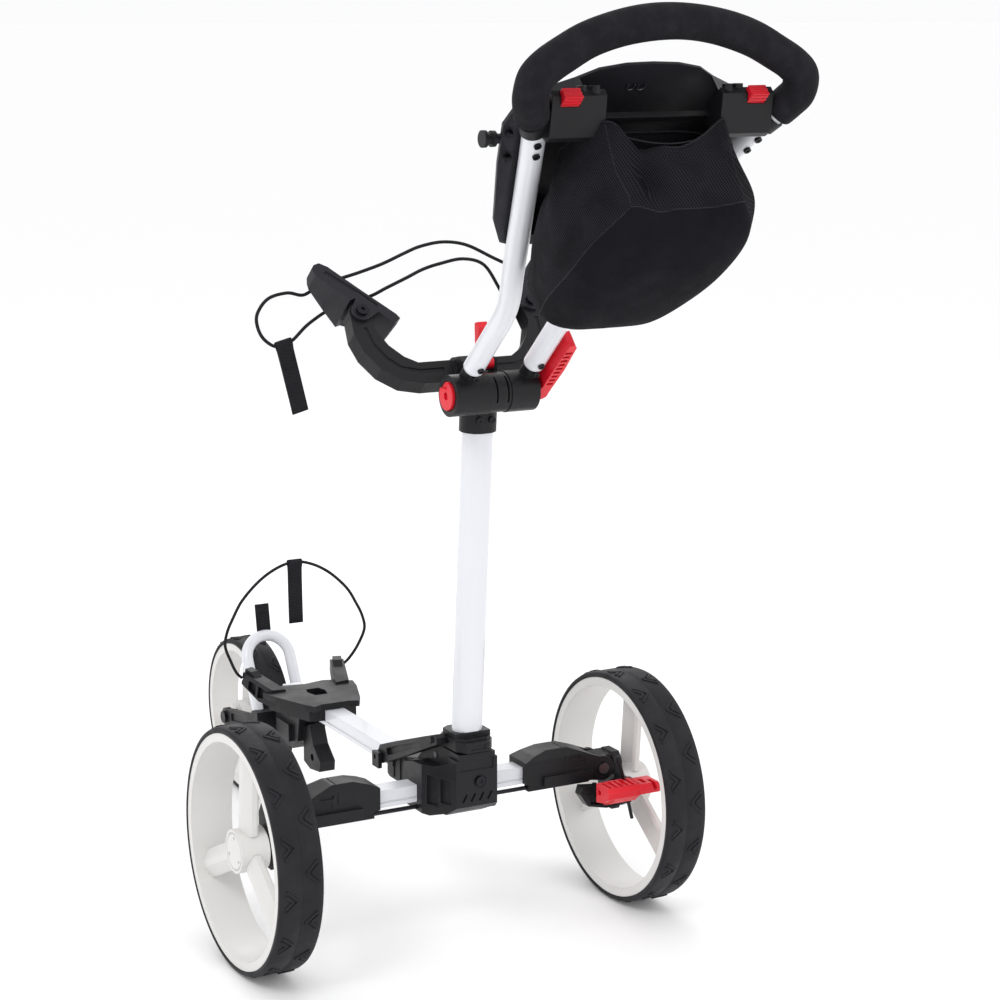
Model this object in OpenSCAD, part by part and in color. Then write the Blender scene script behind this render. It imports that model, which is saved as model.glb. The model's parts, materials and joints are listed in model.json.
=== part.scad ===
// Three-wheeled golf push trolley. The mast, the handle, the bag bracket and all three wheels fold.
// Millimetres. +Z is up, +Y is the way it is pushed, +X is the user's right.
// Working coordinates have y = 0 at the rear wheels' axle and z = 0 on the floor.

/* [Wheels] */
// Radius of the rear wheels over the tyre
rear_r = 147; // [145:0.5:148]
// Width of the rear tyres
rear_w = 54; // [50:1:55]
// Half of the distance between the middles of the rear tyres
half_track = 253; // [252:0.5:256]
// Radius of the front wheel over the tyre
front_r = 112; // [108:1:113]
// Width of the front tyre
front_w = 42; // [38:1:43]
// Distance from the rear axle to the front axle
wheelbase = 622; // [620:1:630]

/* [Frame] */
// Width of the rectangular frame tubes
tube_w = 26; // [24:0.5:26]
// Height of the rectangular frame tubes
tube_h = 21; // [19:0.5:21]
// Height of the frame tubes' centre line above the floor
frame_z = 185; // [184.5:0.5:185.5]
// Front end of the spine tube
spine_end = 468; // [460:1:470]

/* [Mast] */
// How far the mast leans back
mast_lean = 4.5; // [4:0.1:5]
// Length of the mast tube
mast_len = 396; // [390:1:396]
// Radius of the mast tube's rounded ends
mast_r = 15; // [14:0.25:15]
// Half length of the mast tube's flat sides
mast_flat = 3.5; // [2:0.5:3.5]

/* [Handle] */
// Slope of the handle tubes above the horizontal
handle_slope = 42.4; // [42:0.1:43]
// Radius of the handle tube
handle_r = 12; // [11:0.25:12]
// Radius of the foam grip
grip_r = 18; // [16:0.5:19]
// Radius of the handle hinge's barrels
barrel_r = 23.5; // [22.5:0.25:23.5]

/* [Bag supports] */
// Radius of the elastic cords
cord_r = 2; // [1.5:0.25:2]
// Width of the webbing tabs
tab_w = 20; // [15:1:22]
// Length of the webbing tabs
tab_len = 86; // [70:1:90]

/* [Hidden] */
$fn = 48;

// the origin is moved to the middle of the footprint
y_front = wheelbase + front_r;
y_back = -521.9;
y0 = -(y_front + y_back) / 2;

// hinge centres, as [y, z] for the crosswise ones and [x, z] for the lengthwise ones
mast_hinge = [-20, 232];
handle_hinge = [-123, 681];
bracket_hinge = [-56.6, 695.9];
latch_hinge = [108, 197];
swing_hinge = [208, 180];
fork_z = 140;
release_hinge = [-100, 712];

// frame planes
handle_o = [0, -131, 700.6];
bracket_o = [0, -65, 703];
handle_a = 180 - handle_slope;
bracket_a = 49.9;
hoop_o = [0, 507, 139];
hoop_a = -28;

black = [0.09, 0.09, 0.1];
grey = [0.2, 0.2, 0.22];
white = [0.93, 0.93, 0.94];
red = [0.85, 0.08, 0.12];
steel = [0.6, 0.6, 0.62];

// ---- helpers -------------------------------------------------------------
module place() translate([0, y0, 0]) children();
module handle_frame() translate(handle_o) rotate([handle_a, 0, 0]) children();
module bracket_frame() translate(bracket_o) rotate([bracket_a, 0, 0]) children();
module mast_frame() translate([0, -53.4, 258]) rotate([mast_lean, 0, 0]) children();
module hoop_frame() translate(hoop_o) rotate([hoop_a, 0, 0]) children();
module flip() mirror([1, 0, 0]) children();
module both() {
  children();
  mirror([1, 0, 0]) children();
}
// a prism whose outline is given as [y, z] and that runs along x from a to b
module prism_x(p, a, b) translate([a, 0, 0]) rotate([90, 0, 90]) linear_extrude(b - a) polygon(p);
// a prism whose outline is given as [x, z] and that runs along y from a to b
module prism_y(p, a, b) translate([0, b, 0]) rotate([90, 0, 0]) linear_extrude(b - a) polygon(p);
// cylinders along the axes
module cyl_x(y, z, r, a, b, f = 48) translate([a, y, z]) rotate([0, 90, 0]) cylinder(h = b - a, r = r, $fn = f);
module cyl_y(x, z, r, a, b, f = 48) translate([x, b, z]) rotate([90, 0, 0]) cylinder(h = b - a, r = r, $fn = f);
module box(a, b) translate(a) cube(b - a);
module oval(e, r) {
  translate([-e, 0]) circle(r = r, $fn = 64);
  translate([e, 0]) circle(r = r, $fn = 64);
  translate([-e, -r]) square([2 * e, 2 * r]);
}
// smooth curve through a list of points
function between(a, b, c, d, t) =
  0.5 * (2 * b + (c - a) * t + (2 * a - 5 * b + 4 * c - d) * t * t + (3 * b - a - 3 * c + d) * t * t * t);
function curve(p, n) = concat(
  [for (i = [0:len(p) - 2]) for (k = [0:n - 1])
    between(p[max(i - 1, 0)], p[i], p[i + 1], p[min(i + 2, len(p) - 1)], k / n)],
  [p[len(p) - 1]]);
function unit(v) = v / norm(v);
function heading(p, i) = unit(p[min(i + 1, len(p) - 1)] - p[max(i - 1, 0)]);
function ring(p, i, r, n, ref) =
  let (t = heading(p, i), u = unit(cross(ref, t)), v = cross(t, u))
  [for (k = [0:n - 1]) p[i] + r * (cos(360 * k / n) * u + sin(360 * k / n) * v)];
module sweep(p, r, n, ref) {
  m = len(p);
  pts = [for (i = [0:m - 1]) each ring(p, i, r, n, ref)];
  walls = [for (i = [0:m - 2]) for (k = [0:n - 1]) let (a = i * n + k, b = i * n + (k + 1) % n)
    each [[a, a + n, b + n], [a, b + n, b]]];
  ends = [[for (k = [0:n - 1]) k], [for (k = [n - 1:-1:0]) (m - 1) * n + k]];
  polyhedron(pts, concat(walls, ends));
}
// positions in the handle's plane: x, distance up the tubes, depth towards the user
function in_handle(x, s, m) = handle_o +
  [x, s * cos(handle_a) - m * sin(handle_a), s * sin(handle_a) + m * cos(handle_a)];
// positions in the bag bracket's plane
function in_bracket(x, e, g) = bracket_o +
  [x, e * cos(bracket_a) - g * sin(bracket_a), e * sin(bracket_a) + g * cos(bracket_a)];
// positions beside the right cradle pad: along it, towards the golf bag, towards the user
function at_pad(u, v, g) = in_bracket(110 + 0.6 * u - 0.8 * v, 84 + 0.8 * u + 0.6 * v, g);
function flipped(q) = [-q[0], q[1], q[2]];
function turned(p) = [for (i = [len(p) - 1:-1:0]) p[i]];
function mirrored(p) = [for (q = p) [-q[0], q[1], q[2]]];

// ---- centre lines --------------------------------------------------------
// right half of the handle tube, from the hinge up to the middle of the grip
handle_half = [
  in_handle(38, -2, 0), in_handle(38, 40, 0), in_handle(38, 80, 0), in_handle(38.3, 112, 0),
  in_handle(41.5, 136, 0), in_handle(48.5, 162, 0), in_handle(61.5, 203, 0), in_handle(91, 302, 0),
  in_handle(119.5, 396, 0), in_handle(130.5, 428, 0), [143.5, -465, 1006],
  [152, -480, 1022], [150.5, -486, 1037.5], [139, -487, 1049], [120, -486, 1060],
  [94, -485, 1073], [64, -485, 1082.5], [32, -485, 1088.5]];
handle_path = curve(concat(handle_half, [[0, -485, 1090.5]], mirrored(turned(handle_half))), 2);
// the part of the handle tube inside the grip
grip_half = [[139.5, -459, 1000.5], [147.5, -471.5, 1012.5], [152, -480, 1022], [150.5, -486, 1037.5],
  [139, -487, 1049], [120, -486, 1060], [94, -485, 1073], [64, -485, 1082.5], [32, -485, 1088.5]];
grip_path = curve(concat(grip_half, [[0, -485, 1090.5]], mirrored(turned(grip_half))), 2);
handle_ref = [0, -0.894, -0.447];

// right half of the lower elastic cord, from its socket to the top of the loop
lower_half = [[75.5, 461.5, 214.5], [84, 459, 223], [94, 453, 241], [103, 450, 264], [100, 450, 283],
  [91, 450, 302], [77, 450, 325], [52, 450, 349], [26, 450, 364]];
lower_path = curve(concat(lower_half, [[0, 450, 370]], mirrored(turned(lower_half))), 2);

// upper elastic cord: from a knot outside the right pad, across, round the left loop and back
upper_route = [
  at_pad(70, -5, -37), at_pad(64, 8, -38), at_pad(58, 22, -36), at_pad(49, 27.5, -18),
  in_bracket(85, 153, -9), in_bracket(52, 167, -1), in_bracket(20, 169.5, 4), in_bracket(-9, 167, 1),
  in_bracket(-31, 161, -3), in_bracket(-60, 151.5, -8), in_bracket(-92, 143.5, -12),
  flipped(at_pad(49, 27.5, -18)), flipped(at_pad(58, 22, -36)), flipped(at_pad(64, 8, -38)),
  flipped(at_pad(68, -8, -37)), [-176, 49, 785], [-199.5, 48, 780], [-212.7, 48, 765],
  [-214.5, 47, 751], [-208, 46, 735.5], [-194, 46, 725.2], [-182.7, 46, 728], [-171.4, 46, 730.8],
  [-153, 48, 746], flipped(at_pad(39, 0, -51)), flipped(at_pad(36, 12, -51)),
  flipped(at_pad(30, 26.5, -50)), in_bracket(-84, 115.2, -20), in_bracket(-64.4, 118.5, -8),
  in_bracket(-41, 124.8, 0), in_bracket(-19.7, 131.4, 6), in_bracket(2, 135.3, 10),
  in_bracket(33, 139, 12), in_bracket(63, 135, 3), in_bracket(86, 117, -20),
  at_pad(30, 26.5, -50), at_pad(36, 12, -51), at_pad(39, 0, -51)];
upper_path = curve(upper_route, 2);

// ---- wheels --------------------------------------------------------------
// axis along x, centred on the origin
module tyre_shape(r, w) {
  h = w / 2;
  color(black) rotate([0, 90, 0]) rotate_extrude($fn = 180) polygon([
    [r - 15, -h + 4.9], [r - 8.5, -h + 4.9], [r - 8.5, -h], [r - 4, -h], [r - 1.2, -h + 2.6],
    [r, -h + 7], [r, -0.6], [r - 0.6, 0], [r, 0.6], [r, h - 7], [r - 1.2, h - 2.6],
    [r - 4, h], [r - 8.5, h], [r - 8.5, h - 4.9], [r - 15, h - 4.9]]);
}
// spokes and hub stand towards +x, the outer side
module rim_shape(r, w, hub_a, hub_b, hub_r, bore, spoke_x, spoke_w, cap) {
  h = w / 2;
  color(white) difference() {
    union() {
      rotate([0, 90, 0]) rotate_extrude($fn = 180) polygon([
        [r - 19, -h + 0.8], [r - 8.6, -h + 0.8], [r - 8.6, -h + 4.8], [r - 15.05, -h + 4.8],
        [r - 15.05, h - 4.8], [r - 8.6, h - 4.8], [r - 8.6, h - 0.8], [r - 19, h - 0.8]]);
      cyl_x(0, 0, hub_r, hub_a, hub_b, 96);
      for (a = [5, 125, 245]) rotate([a, 0, 0]) translate([spoke_x, 0, hub_r - 4])
        linear_extrude(r - 19 - hub_r + 5.5) polygon([
          [-4, -spoke_w], [-7, -spoke_w + 3], [4, 0], [-7, spoke_w - 3], [-4, spoke_w],
          [2, spoke_w], [10, 4], [10, -4], [2, -spoke_w]]);
    }
    cyl_x(0, 0, bore, hub_a - 1, hub_b - cap, 64);
    for (a = [5, 125, 245]) rotate([a, 0, 0]) translate([hub_b + 1, 0, hub_r * 0.62])
      rotate([0, -90, 0]) cylinder(h = 3, r = 2.2, $fn = 24);
    rotate([0, 90, 0]) rotate_extrude($fn = 96) polygon([
      [hub_r - 5, hub_b - 1.2], [hub_r - 3.6, hub_b - 1.2], [hub_r - 3.6, hub_b + 1], [hub_r - 5, hub_b + 1]]);
  }
}
module bearing(x, r_out, r_in) color(steel) translate([x, 0, 0]) rotate([0, 90, 0])
  difference() {
    cylinder(h = 7, r = r_out, $fn = 64);
    translate([0, 0, -1]) cylinder(h = 9, r = r_in, $fn = 64);
  }
module at_rear() translate([half_track, 0, rear_r]) children();
module at_front() translate([0, wheelbase, front_r]) children();

module tyre_right() place() at_rear() tyre_shape(rear_r, rear_w);
module tyre_left() flip() tyre_right();
module tyre_front() place() at_front() tyre_shape(front_r, front_w);
module rim_right() place() at_rear() rim_shape(rear_r, rear_w, -12, 23, 26, 11.03, 6, 17, 4);
module rim_left() flip() rim_right();
module rim_front() place() at_front() rim_shape(front_r, front_w, -19, 19, 21, 9.03, 0, 14, -1);
module bearings_right() place() at_rear() for (x = [-11, 7]) bearing(x, 11, 6.05);
module bearings_left() flip() bearings_right();
module bearings_front() place() at_front() for (x = [-17, 10]) bearing(x, 9, 5.05);

module rear_axle_right() color(steel) place() {
  cyl_x(0, rear_r, 6, 225, 271);
  cyl_x(0, rear_r, 9, 268.5, 271.5);
}
module rear_axle_left() flip() rear_axle_right();
module front_axle() color(steel) place() {
  cyl_x(wheelbase, front_r, 5, -41, 41);
  both() cyl_x(wheelbase, front_r, 8.5, 37.6, 41.5);
}

// ---- rear arms -----------------------------------------------------------
module frame_bar(a, b, grow = 0) {
  // along x
  box([a, -tube_w / 2 - grow, frame_z - tube_h / 2 - grow], [b, tube_w / 2 + grow, frame_z + tube_h / 2 + grow]);
}
module grooved_x(a, b) difference() {
  frame_bar(a, b);
  box([a - 1, -tube_w / 2 + 2, frame_z - tube_h / 2 + 2], [b + 1, tube_w / 2 - 2, frame_z + tube_h / 2 - 2]);
  for (s = [-1, 1]) translate([0, s * tube_w / 2, 0])
    box([a - 1, -0.9, frame_z - 5.2], [b + 1, 0.9, frame_z - 3.2]);
}
module axle_tube_right() color(white) place() grooved_x(30, 150);
module axle_tube_left() flip() axle_tube_right();
module spine_tube() color(white) place() difference() {
  translate([-tube_w / 2, 40, frame_z - tube_h / 2]) cube([tube_w, spine_end - 40, tube_h]);
  translate([-tube_w / 2 + 2, 39, frame_z - tube_h / 2 + 2]) cube([tube_w - 4, spine_end - 38, tube_h - 4]);
  for (s = [-1, 1]) translate([s * tube_w / 2, 0, 0])
    box([-0.9, 39, frame_z - 5.2], [0.9, spine_end + 1, frame_z - 3.2]);
}
module arm_housing_right() color(black) place() difference() {
  union() {
    intersection() {
      prism_y([[98, 175], [98, 202], [112, 208], [130, 213], [158, 213], [180, 205], [204, 195.5],
        [208, 164.5], [192, 167], [130, 168]], -21, 21);
      prism_x([[-21, 160], [-21, 203], [-14, 214], [14, 214], [21, 203], [21, 160]], 90, 230);
    }
    cyl_y(swing_hinge[0], swing_hinge[1], 15.5, -21, 21);
    box([104, -17, 164.2], [190, -7, 173]);
    box([122, -26, 169], [190, -20.5, 182]);
  }
  // open clevis for the swing block
  box([191, -14.2, 150], [240, 14.2, 230]);
  frame_bar(90, 150.5, 0.1);
  cyl_y(swing_hinge[0], swing_hinge[1], 4.02, -40, 40);
  // sleeve seam and the window of the rear face
  difference() {
    box([152, -30, 150], [153.4, 30, 230]);
    box([151, -20, 160], [155, 20, 211.8]);
    box([151, -28.1, 150], [155, -19, 190]);
  }
  box([158, -22, 198], [176, -19.2, 203]);
  box([160, -22, 186], [184, -20, 196]);
  cyl_x(-12, 168.3, 3.1, 100, 200, 32);
}
module arm_housing_left() flip() arm_housing_right();
module link_rod_right() color(black) place() cyl_x(-12, 168.3, 2.6, 34, 189, 32);
module link_rod_left() flip() link_rod_right();

module swing_block_right() color(black) place() difference() {
  union() {
    cyl_y(swing_hinge[0], swing_hinge[1], 14.4, -13.8, 13.8);
    box([208, -13.8, 167], [226, 13.8, 194.4]);
    // plate beside the wheel
    prism_x([[-20, 136], [-14, 122], [14, 122], [20, 136], [20, 184], [12, 196], [-12, 196], [-20, 184]], 224.8, 236);
    cyl_x(0, rear_r, 12, 224.8, 240);
    // rear arm that carries the brake
    prism_y([[224.8, 172], [236, 168], [236, 138], [200, 136], [174, 142], [163, 158], [166, 168], [206, 163]], -43, -29.2);
    box([224.8, -43, 140], [236, -12, 165]);
    // pedal ears
    box([182, -56, 152], [186.5, -38, 170]);
    box([232, -56, 152], [236, -38, 170]);
  }
  cyl_y(swing_hinge[0], swing_hinge[1], 4.06, -30, 30);
  cyl_x(0, rear_r, 6.02, 220, 250);
  // pockets of the rear arm
  prism_y([[172, 160], [202, 157], [202, 140], [178, 144]], -44, -37);
  prism_y([[206, 156], [221, 158], [221, 142], [206, 140]], -44, -37);
  cyl_x(-52, 162, 3.02, 180, 240, 32);
}
module swing_block_left() color(black) place() flip() difference() {
  union() {
    cyl_y(swing_hinge[0], swing_hinge[1], 14.4, -13.8, 13.8);
    box([208, -13.8, 167], [226, 13.8, 194.4]);
    prism_x([[-20, 136], [-14, 122], [14, 122], [20, 136], [20, 184], [12, 196], [-12, 196], [-20, 184]], 224.8, 236);
    cyl_x(0, rear_r, 12, 224.8, 240);
  }
  cyl_y(swing_hinge[0], swing_hinge[1], 4.06, -30, 30);
  cyl_x(0, rear_r, 6.02, 220, 250);
}
module brake_rod(r) translate([216, -61, 164]) rotate([0, -14, 0]) translate([0, 0, -41]) cylinder(h = 84, r = r, $fn = 32);
module brake_pedal() color(red) place() difference() {
  union() {
    cyl_x(-52, 162, 7.5, 187, 231.5);
    prism_x([[-47, 156], [-47, 169], [-60, 177], [-84, 176], [-89, 170], [-86, 162], [-74, 152], [-60, 147], [-50, 149]], 187, 222);
    prism_x([[-58.5, 152], [-58.5, 176], [-84, 176], [-89, 170], [-86, 162], [-74, 155]], 176, 190);
    prism_x([[-58.5, 159], [-58.5, 175], [-84, 175], [-90, 169], [-88, 163], [-74, 158]], 220, 249);
  }
  // ribs of the tread, the pockets of the tip and the pockets underneath
  for (i = [0:5]) box([180 + i * 8, -84, 173.5], [184 + i * 8, -62, 178]);
  box([229, -81, 166], [235, -66, 178]);
  box([239, -91, 166.5], [244.5, -72, 178]);
  for (i = [0:2]) box([194 + i * 9, -72, 140], [199 + i * 9, -56, 153]);
  cyl_x(-66, 166, 3.4, 170, 183, 32);
  cyl_x(-52, 162, 2.98, 180, 240, 32);
  brake_rod(2.24);
}
module brake_pin() color(black) place() {
  brake_rod(2.2);
  translate([216, -61, 164]) rotate([0, -14, 0]) translate([0, 0, 36]) cylinder(h = 8, r = 3.4, $fn = 32);
  cyl_x(-52, 162, 2.96, 181, 237);
}

// ---- pins and bolts of the frame ----------------------------------------
module hinge_pins() color(steel) place() {
  both() {
    cyl_y(swing_hinge[0], swing_hinge[1], 3.98, -21, 21);
    cyl_y(swing_hinge[0], swing_hinge[1], 7, -23.5, -21.05);
  }
  cyl_x(mast_hinge[0], mast_hinge[1], 4, -25, 25);
  cyl_x(latch_hinge[0], latch_hinge[1], 3, -42, -22.2);
}
module hub_bolts() color(steel) place() {
  for (q = [[4, 212]]) difference() {
    cyl_y(q[0], q[1], 6, -82.4, -79.25);
    cyl_y(q[0], q[1], 2.6, -84, -81.4, 6);
  }
}

// ---- main hub ------------------------------------------------------------
module main_hub() color(black) place() difference() {
  union() {
    prism_x([[-80, 183], [-80, 247], [-24, 247], [-8, 238], [10, 232], [30, 214], [30, 166], [-10, 162],
      [-46, 164], [-66, 173]], -24, 24);
    // splayed sides that carry the axle tubes
    intersection() {
      translate([0, 0, 150]) linear_extrude(100) polygon([[27, -80], [46, -26], [46, 22], [24, 36],
        [-24, 36], [-46, 22], [-46, -26], [-27, -80]]);
      prism_x([[-81, 183], [-81, 238], [-44, 226], [0, 222], [40, 210], [40, 164], [-38, 164], [-66, 173]], -50, 50);
    }
    prism_x([[-80, 183], [-80, 240], [-60, 240], [-60, 176]], -27, 27);
    // sleeve of the spine
    prism_x([[30, 167], [30, 214], [60, 206], [116, 203], [118, 198], [118, 170], [112, 167]], -22, 22);
    for (y = [44, 62, 80, 98]) box([-23.2, y, 170], [23.2, y + 5, 202]);
    prism_x([[98, 184], [98, 204], [116, 203], [116, 184]], -44, -21);
  }
  translate([-tube_w / 2 - 0.1, 39.9, frame_z - tube_h / 2 - 0.1]) cube([tube_w + 0.2, 90, tube_h + 0.2]);
  both() frame_bar(29.9, 60, 0.1);
  both() cyl_x(-12, 168.3, 3.1, 20, 60, 32);
  // slot of the mast foot's tongue
  box([-10.4, -50, 216], [10.4, 10, 260]);
  cyl_x(mast_hinge[0], mast_hinge[1], 4.05, -30, 30);
  // gap for the latch
  box([-39, 90, 180], [-24.4, 130, 220]);
  cyl_x(latch_hinge[0], latch_hinge[1], 3.04, -50, -20, 32);
  // ribbed pockets in the splayed sides
  both() translate([36.5, -53, 0]) rotate([0, 0, 71.3]) {
    box([-20, -9, 184], [-2, 3, 214]);
    box([2, -9, 178], [20, 3, 214]);
  }
  // slanted slots under the rear face and its top recess
  for (i = [-2:1]) translate([i * 11 + 6, -80, 193]) rotate([0, 30, 0]) cube([3, 5, 11], center = true);
  box([-22, -81, 226], [22, -78.6, 240]);
  translate([-8, 0, 0]) cyl_y(12, 212, 8, -81, -79.2, 48);
}

// ---- mast ----------------------------------------------------------------
module mast_foot() color(black) place() difference() {
  union() {
    translate([0, 0, 249]) linear_extrude(12) polygon([[24, -72], [24, -32], [15, -22], [-15, -22], [-24, -32],
      [-24, -72], [-15, -84], [15, -84]]);
    translate([0, 0, 261]) linear_extrude(9) polygon([[23, -70], [23, -37], [14, -31], [-14, -31], [-23, -37],
      [-23, -70]]);
    translate([0, 0, 261]) linear_extrude(3) polygon([[22, -60], [-22, -60], [-23, -70], [-14, -79], [14, -79], [23, -70]]);
    prism_x([[-46, 252], [-46, 244], [-26, 224], [-12, 227], [-11, 236], [-24, 252]], -10, 10);
    cyl_x(mast_hinge[0], mast_hinge[1], 9.8, -10, 10);
  }
  mast_frame() linear_extrude(60) oval(mast_flat, mast_r + 0.1);
  cyl_x(mast_hinge[0], mast_hinge[1], 4.06, -30, 30);
  box([-10, -85, 251.5], [10, -82.6, 258.5]);
}
module mast_tube() color(white) place() mast_frame() translate([0, 0, 0.1]) difference() {
  linear_extrude(mast_len) oval(mast_flat, mast_r);
  translate([0, 0, -1]) linear_extrude(mast_len + 2) oval(mast_flat, mast_r - 2);
}
module upper_hub() color(black) place() difference() {
  union() {
    mast_frame() translate([0, 0, 375]) linear_extrude(32) oval(mast_flat, mast_r + 3.4);
    cyl_x(handle_hinge[0], handle_hinge[1], 22.5, -11.2, 11.2, 64);
    box([-11.2, handle_hinge[0], 660], [11.2, -97, 702]);
    prism_x([[-98, 651], [-98, 702], [-84, 708], [-68, 716], [-50, 712], [-42, 696], [-60, 651]], -16, 16);
    cyl_x(bracket_hinge[0], bracket_hinge[1], 17.5, -16, 16, 64);
    // ears of the release lever
    both() box([8.8, -106, 698], [13, -90, 718]);
  }
  mast_frame() translate([0, 0, 360]) linear_extrude(36.5) oval(mast_flat, mast_r + 0.1);
  cyl_x(handle_hinge[0], handle_hinge[1], 5.08, -30, 30);
  cyl_x(bracket_hinge[0], bracket_hinge[1], 11.08, -30, 30, 64);
  cyl_x(release_hinge[0], release_hinge[1], 2.55, -30, 30, 32);
  cyl_x(release_hinge[0], release_hinge[1], 8.5, -8.7, 8.7);
  box([-8.7, -110, 712], [8.7, -88, 730]);
  // clamp slots either side of the centre tab
  both() box([6, -147, 672], [8, -130, 700]);
}
module collar_screws() color(steel) place() mast_frame() both() difference() {
  translate([8, -mast_r - 3.45, 391]) rotate([90, 0, 0]) cylinder(h = 2.4, r = 4);
  translate([8, -mast_r - 5, 391]) rotate([90, 0, 0]) cylinder(h = 3, r = 2, $fn = 6);
}
module mast_latch() color(black) place() difference() {
  union() {
    cyl_x(latch_hinge[0], latch_hinge[1], 8, -38, -25);
    prism_x([[113, 200], [106, 212], [60, 229], [-20, 257], [-44, 265], [-50, 262], [-50, 254], [-40, 250],
      [40, 215], [84, 197], [100, 189.5]], -38, -25);
    cyl_x(-36, 257, 4.5, -40.5, -37);
  }
  cyl_x(latch_hinge[0], latch_hinge[1], 3.06, -50, -20, 32);
  prism_x([[88, 212], [60, 223], [0, 244], [0, 237], [44, 220], [84, 204]], -39, -34);
}

// ---- front end -----------------------------------------------------------
module lower_bracket() color(black) place() difference() {
  union() {
    translate([0, 0, 197]) linear_extrude(8) polygon([[20, 322], [32, 316], [40, 330], [60, 384], [66, 410],
      [48, 424], [30, 430], [0, 424], [-30, 430], [-48, 424], [-66, 410], [-60, 384], [-40, 330],
      [-32, 316], [-20, 322]]);
    translate([0, 0, 181]) linear_extrude(16.5) polygon([[18, 326], [34, 330], [52, 386], [58, 410],
      [44, 418], [18, 418], [-18, 418], [-44, 418], [-58, 410], [-52, 386], [-34, 330], [-18, 326]]);
    // two arms that reach forward round the foot of the golf bag
    both() difference() {
      translate([44, 394, 184]) rotate([0, 0, -17.7]) rotate([12.5, 0, 0]) {
        box([-9.5, 0, 8], [9.5, 78, 22]);
        prism_x([[0, 0], [0, 10], [78, 10], [78, 5], [40, -5]], -9.5, 9.5);
        prism_x([[50, 20], [66, 27], [78, 27], [78, 20]], -6, 6);
      }
      box([20, 370, 204.9], [80, 402, 240]);
    }
  }
  translate([-tube_w / 2 - 0.1, 300, frame_z - tube_h / 2 - 10]) cube([tube_w + 0.2, 200, tube_h + 10.1]);
  // opening in the plate
  translate([0, 0, 196.5]) linear_extrude(10) polygon([[-9, 366], [9, 366], [13, 384], [9, 398], [-9, 398], [-13, 384]]);
  // ribbed sides of the arms
  both() translate([44, 394, 184]) rotate([0, 0, -17.7]) rotate([12.5, 0, 0]) {
    prism_x([[26, 4], [26, 16], [44, 16], [44, -1]], 4, 12);
    prism_x([[48, 0], [48, 16], [64, 16], [64, 3]], 4, 12);
  }
  both() translate([75.5, 461.5, 214.5]) rotate([11.75, 45, 0]) translate([0, 0, -3]) cylinder(h = 40, r = 2.35, $fn = 32);
}
module fork_housing() color(black) place() difference() {
  union() {
    prism_x([[396, 174.3], [472, 174.3], [478, 166], [478, 122], [468, 118], [420, 118], [404, 132]], -20, 20);
    prism_x([[404, 150], [404, 104], [384, 98], [352, 102], [350, 116], [372, 134], [384, 160]], -11, 11);
    box([-26, 420, 128], [26, 462, 152]);
  }
  cyl_y(0, fork_z, 9.06, 430, 500);
  box([-22, 430, 160], [-16, 470, 168]);
  cyl_x(376, 116, 5, -12, 12, 32);
}
module front_fork() color(black) place() difference() {
  union() {
    cyl_y(0, fork_z, 9, 441, 495);
    box([-42, 491.5, 118], [42, 506.5, 152]);
    both() {
      box([22, 491.5, 118], [42, 512, 150]);
      prism_x([[508, 119], [508, 141], [545, 137], [628, 123], [633, 112], [627, 101], [614, 101], [545, 115]], 29.4, 37.2);
      cyl_x(wheelbase, front_r, 13, 29.4, 37.4);
    }
  }
  cyl_x(wheelbase, front_r, 5.02, -60, 60, 32);
  hoop_frame() both() translate([32, 0, -2]) cylinder(h = 60, r = 8.08);
  both() prism_x([[545, 121], [545, 132], [600, 123], [600, 112]], 35, 38);
}
module hoop_shape(r) {
  both() translate([32, 0, -1.9]) cylinder(h = 85.9, r = r);
  translate([0, 0, 84]) rotate([90, 0, 0]) rotate_extrude(angle = 180, $fn = 96) translate([32, 0]) circle(r = r, $fn = 48);
}
module pull_hoop() color(white) place() hoop_frame() hoop_shape(8);
module pull_tab() color(black) place() hoop_frame() difference() {
  translate([0, 0, 117]) rotate([18, 0, 0]) box([-tab_w / 2, -1.6, 0], [tab_w / 2, 1.6, 44]);
  hoop_shape(8.1);
}

// ---- handle --------------------------------------------------------------
module barrel(a, b) difference() {
  union() {
    cyl_x(handle_hinge[0], handle_hinge[1], barrel_r, a, b, 64);
    handle_frame() translate([a < 0 ? -38 : 38, 0, 0]) rotate([-90, 0, 0]) cylinder(h = 42, r = handle_r - 1.9, $fn = 48);
  }
  cyl_x(handle_hinge[0], handle_hinge[1], 5.05, a - 10, b + 10);
}
module handle_barrel_left() color(black) place() difference() {
  barrel(-58, -11.5);
  both() cyl_x(handle_hinge[0], handle_hinge[1], 17, 55, 59, 64);
}
module handle_barrel_right() color(black) place() difference() {
  union() {
    barrel(11.5, 47);
    handle_frame() translate([0, -19, 0]) {
      box([46, -7.5, 5], [57, 7.5, 13]);
      translate([57, 0, 5]) cylinder(h = 8, r = 7.5);
    }
  }
  handle_frame() translate([57, -19, -10]) cylinder(h = 40, r = 3.06, $fn = 32);
}
module bolt_cap() color(red) place() {
  difference() {
    union() {
      cyl_x(handle_hinge[0], handle_hinge[1], 16, -61, -55.05, 64);
      cyl_x(handle_hinge[0], handle_hinge[1], 5, -56, 44);
    }
    cyl_x(handle_hinge[0], handle_hinge[1], 5, -62, -57, 6);
    rotate([0, 0, 0]) box([-62, handle_hinge[0] - 3, handle_hinge[1] + 8], [-58, handle_hinge[0] + 30, handle_hinge[1] + 30]);
  }
}
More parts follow.
